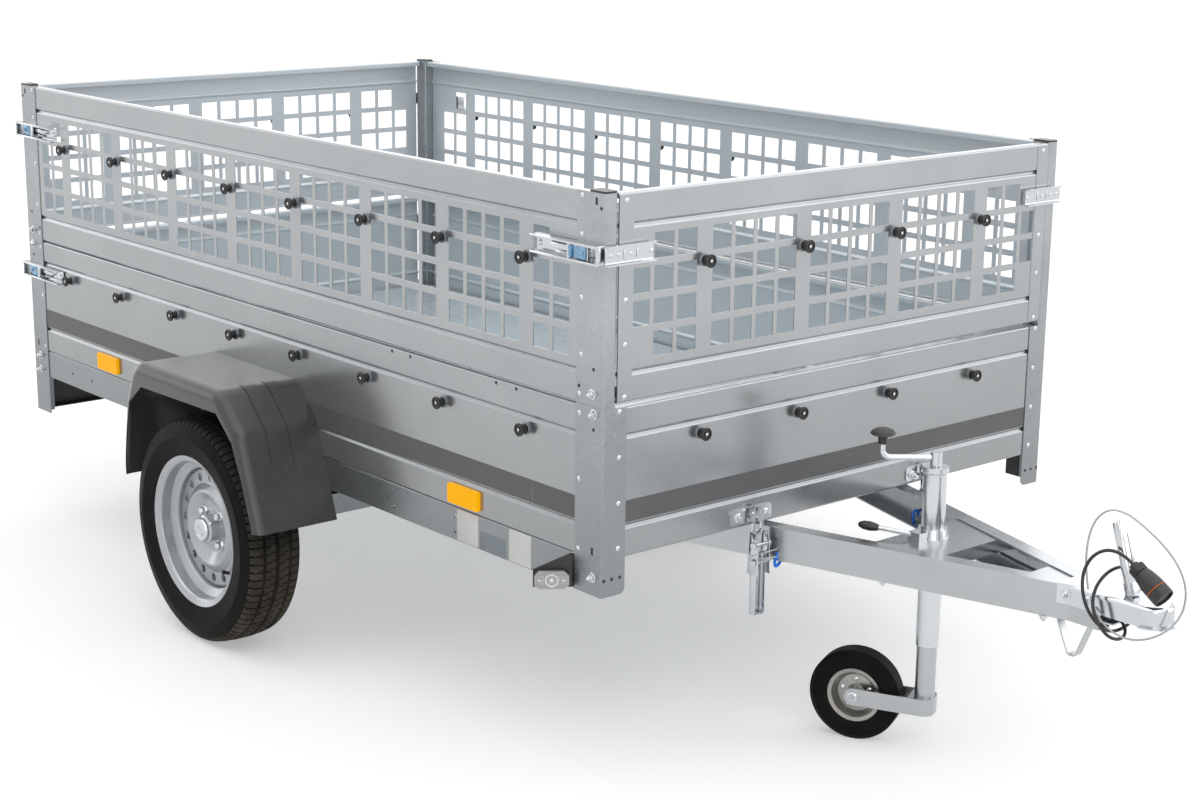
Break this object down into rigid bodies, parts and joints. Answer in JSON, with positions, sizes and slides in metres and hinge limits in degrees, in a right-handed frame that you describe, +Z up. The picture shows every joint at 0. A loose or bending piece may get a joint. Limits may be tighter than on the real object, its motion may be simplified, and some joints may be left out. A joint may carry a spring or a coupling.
{
  "type": "utility trailer",
  "caption": "Single-axle box trailer with perforated side extensions, drop gates, tipping bed, moulded mudguards, jockey wheel and ball coupling.",
  "frame": {"origin": "on the ground, under the centre of the box round the rigid parts", "axes": "+X towards the coupling, +Y to the trailer's left, +Z up"},
  "size_m": [3.3232, 1.75, 1.195],
  "materials": {
    "galvanised_sheet": "dull hot-dip zinc",
    "galvanised_frame": "dull hot-dip zinc",
    "bright_zinc": "bright zinc plate",
    "black_steel": "satin",
    "black_plastic": "fine grain",
    "mudguard_plastic": "fine grain",
    "wheel_silver": "silver lacquer",
    "tyre_rubber": "matte",
    "jockey_rubber": "matte",
    "reflector": "prismatic",
    "clear_lens": "gloss",
    "floor_sheet": "dull hot-dip zinc",
    "cable_sheath": "satin",
    "wire_rope": "bright"
  },
  "bodies": {
    "chassis": {"drawbar_legs": "galvanised_frame", "drawbar_plates": "galvanised_frame", "rest_strap": "galvanised_frame", "axle": "galvanised_frame", "coupling": "bright_zinc", "coupling_lever": "bright_zinc", "jockey_tube": "bright_zinc", "jockey_crank": "bright_zinc", "jockey_clamp": "bright_zinc", "jockey_grips": "black_plastic", "tip_latches": "bright_zinc", "plug": "black_plastic", "power_cable": "cable_sheath", "safety_cable": "wire_rope"},
    "bed": {"floor": "floor_sheet", "side_walls": "galvanised_sheet", "front_wall": "galvanised_sheet", "mesh_walls": "galvanised_sheet", "side_rails": "galvanised_frame", "cross_members": "galvanised_frame", "rear_bar": "black_steel", "lower_posts": "galvanised_frame", "upper_posts": "galvanised_frame", "post_caps": "black_plastic", "tie_knobs": "black_plastic", "gate_latches": "bright_zinc", "mudguards": "mudguard_plastic", "reflectors": "reflector", "lamp_brackets": "black_steel", "front_lamps": "clear_lens", "rear_lamps": "black_plastic", "sill_hooks": "bright_zinc", "tip_pivots": "galvanised_frame"},
    "front_gate": {"front_gate": "galvanised_sheet", "front_gate_keepers": "bright_zinc", "front_gate_knobs": "black_plastic"},
    "rear_gate": {"rear_gate": "galvanised_sheet", "rear_gate_keepers": "bright_zinc", "rear_gate_knobs": "black_plastic"},
    "tailgate": {"tailgate": "galvanised_sheet", "tailgate_keepers": "bright_zinc", "tailgate_knobs": "black_plastic"},
    "wheel_right": {"tyre_right": "tyre_rubber", "rim_right": "wheel_silver"},
    "wheel_left": {"tyre_left": "tyre_rubber", "rim_left": "wheel_silver"},
    "jockey_nut": {"jockey_nut": "bright_zinc"},
    "jockey_leg": {"jockey_leg": "bright_zinc"},
    "jockey_wheel": {"jockey_rim": "bright_zinc", "jockey_tyre": "jockey_rubber"}
  },
  "joints": [
    {"name": "bed_tip", "type": "hinge", "parent": "chassis", "child": "bed", "pos_m": [-0.5065, 0, 0.43], "axis": [0, -1, 0], "range_deg": [0, 14]},
    {"name": "front_gate_hinge", "type": "hinge", "parent": "bed", "child": "front_gate", "pos_m": [0.7965, 0, 0.792], "axis": [0, 1, 0], "range_deg": [0, 90]},
    {"name": "rear_gate_hinge", "type": "hinge", "parent": "bed", "child": "rear_gate", "pos_m": [-1.6095, 0, 0.792], "axis": [0, -1, 0], "range_deg": [0, 90]},
    {"name": "tailgate_hinge", "type": "hinge", "parent": "bed", "child": "tailgate", "pos_m": [-1.6095, 0, 0.484], "axis": [0, -1, 0], "range_deg": [0, 90]},
    {"name": "wheel_right_spin", "type": "hinge", "parent": "chassis", "child": "wheel_right", "pos_m": [-0.4315, -0.794, 0.268], "axis": [0, 1, 0], "continuous": true},
    {"name": "wheel_left_spin", "type": "hinge", "parent": "chassis", "child": "wheel_left", "pos_m": [-0.4315, 0.794, 0.268], "axis": [0, 1, 0], "continuous": true},
    {"name": "jockey_lift", "type": "slide", "parent": "chassis", "child": "jockey_nut", "axis": [0, 0, 1], "range_m": [-0.08, 0.095]},
    {"name": "jockey_swivel", "type": "hinge", "parent": "jockey_nut", "child": "jockey_leg", "pos_m": [1.0655, 0, 0.3], "axis": [0, 0, 1], "continuous": true},
    {"name": "jockey_wheel_spin", "type": "hinge", "parent": "jockey_leg", "child": "jockey_wheel", "pos_m": [0.93405, -0.06354, 0.098], "axis": [-0.4352, 0.9003, 0], "continuous": true}
  ]
}
